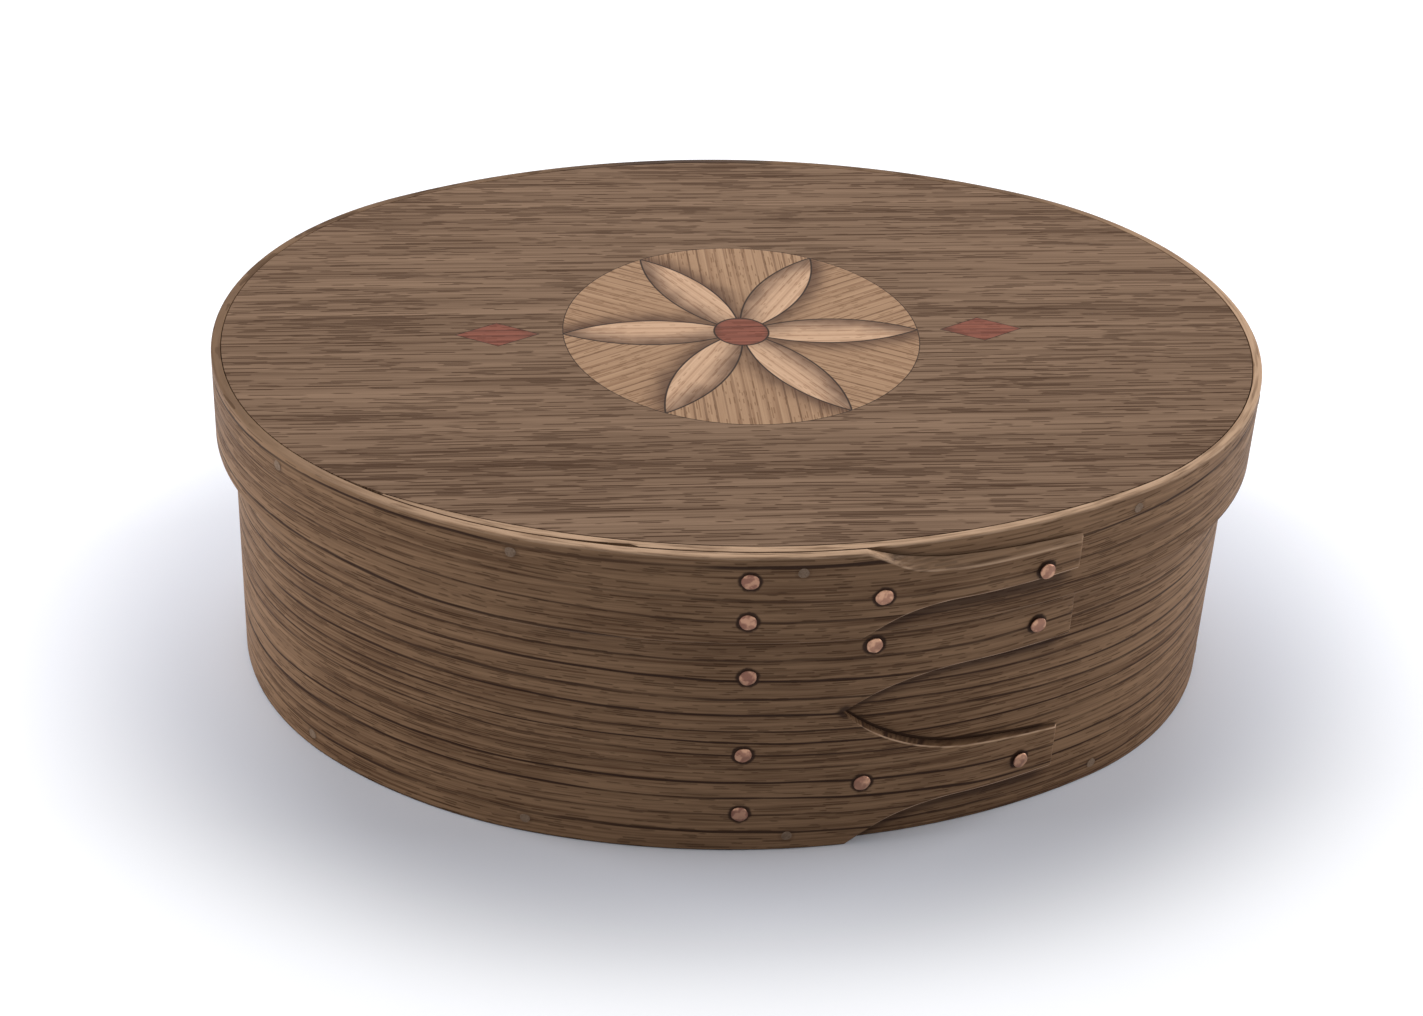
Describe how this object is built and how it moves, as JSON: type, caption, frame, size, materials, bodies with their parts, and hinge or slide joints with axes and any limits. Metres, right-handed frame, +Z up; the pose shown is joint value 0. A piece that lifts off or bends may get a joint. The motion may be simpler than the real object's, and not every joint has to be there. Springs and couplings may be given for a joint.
{
  "type": "shaker oval box",
  "caption": "Lidded oval box of bent wooden bands with swallowtail fingers held by copper tacks, pegged flat boards and a round inlay in the lid.",
  "frame": {"origin": "centre of the base board's underside, on the surface that the box stands on", "axes": "+Z up, +X along the box's length to the side that the finger tips point to, -Y towards the side with the laps and tacks"},
  "size_m": [0.2106, 0.1604, 0.071],
  "materials": {
    "band_wood": "oiled walnut",
    "board_wood": "oiled walnut",
    "peg_wood": "end grain",
    "copper": "hammered copper",
    "pale_veneer": "satin",
    "tan_veneer": "satin",
    "red_veneer": "satin"
  },
  "bodies": {
    "box": {"box_band": "band_wood", "base_board": "board_wood", "lower_finger_tacks": "copper", "upper_finger_tacks": "copper", "base_pegs": "peg_wood"},
    "lid": {"lid_band": "band_wood", "lid_board": "board_wood", "lid_finger_tacks": "copper", "lid_pegs": "peg_wood", "rosette_hub": "red_veneer", "rosette_petal_1": "pale_veneer", "rosette_petal_2": "pale_veneer", "rosette_petal_3": "pale_veneer", "rosette_petal_4": "pale_veneer", "rosette_petal_5": "pale_veneer", "rosette_petal_6": "pale_veneer", "rosette_field_1": "tan_veneer", "rosette_field_2": "tan_veneer", "rosette_field_3": "tan_veneer", "rosette_field_4": "tan_veneer", "rosette_field_5": "tan_veneer", "rosette_field_6": "tan_veneer", "left_lozenge": "red_veneer", "right_lozenge": "red_veneer"}
  },
  "joints": [
    {"name": "lid_lift", "type": "slide", "parent": "box", "child": "lid", "axis": [0, 0, 1], "range_m": [0, 0.05]}
  ]
}
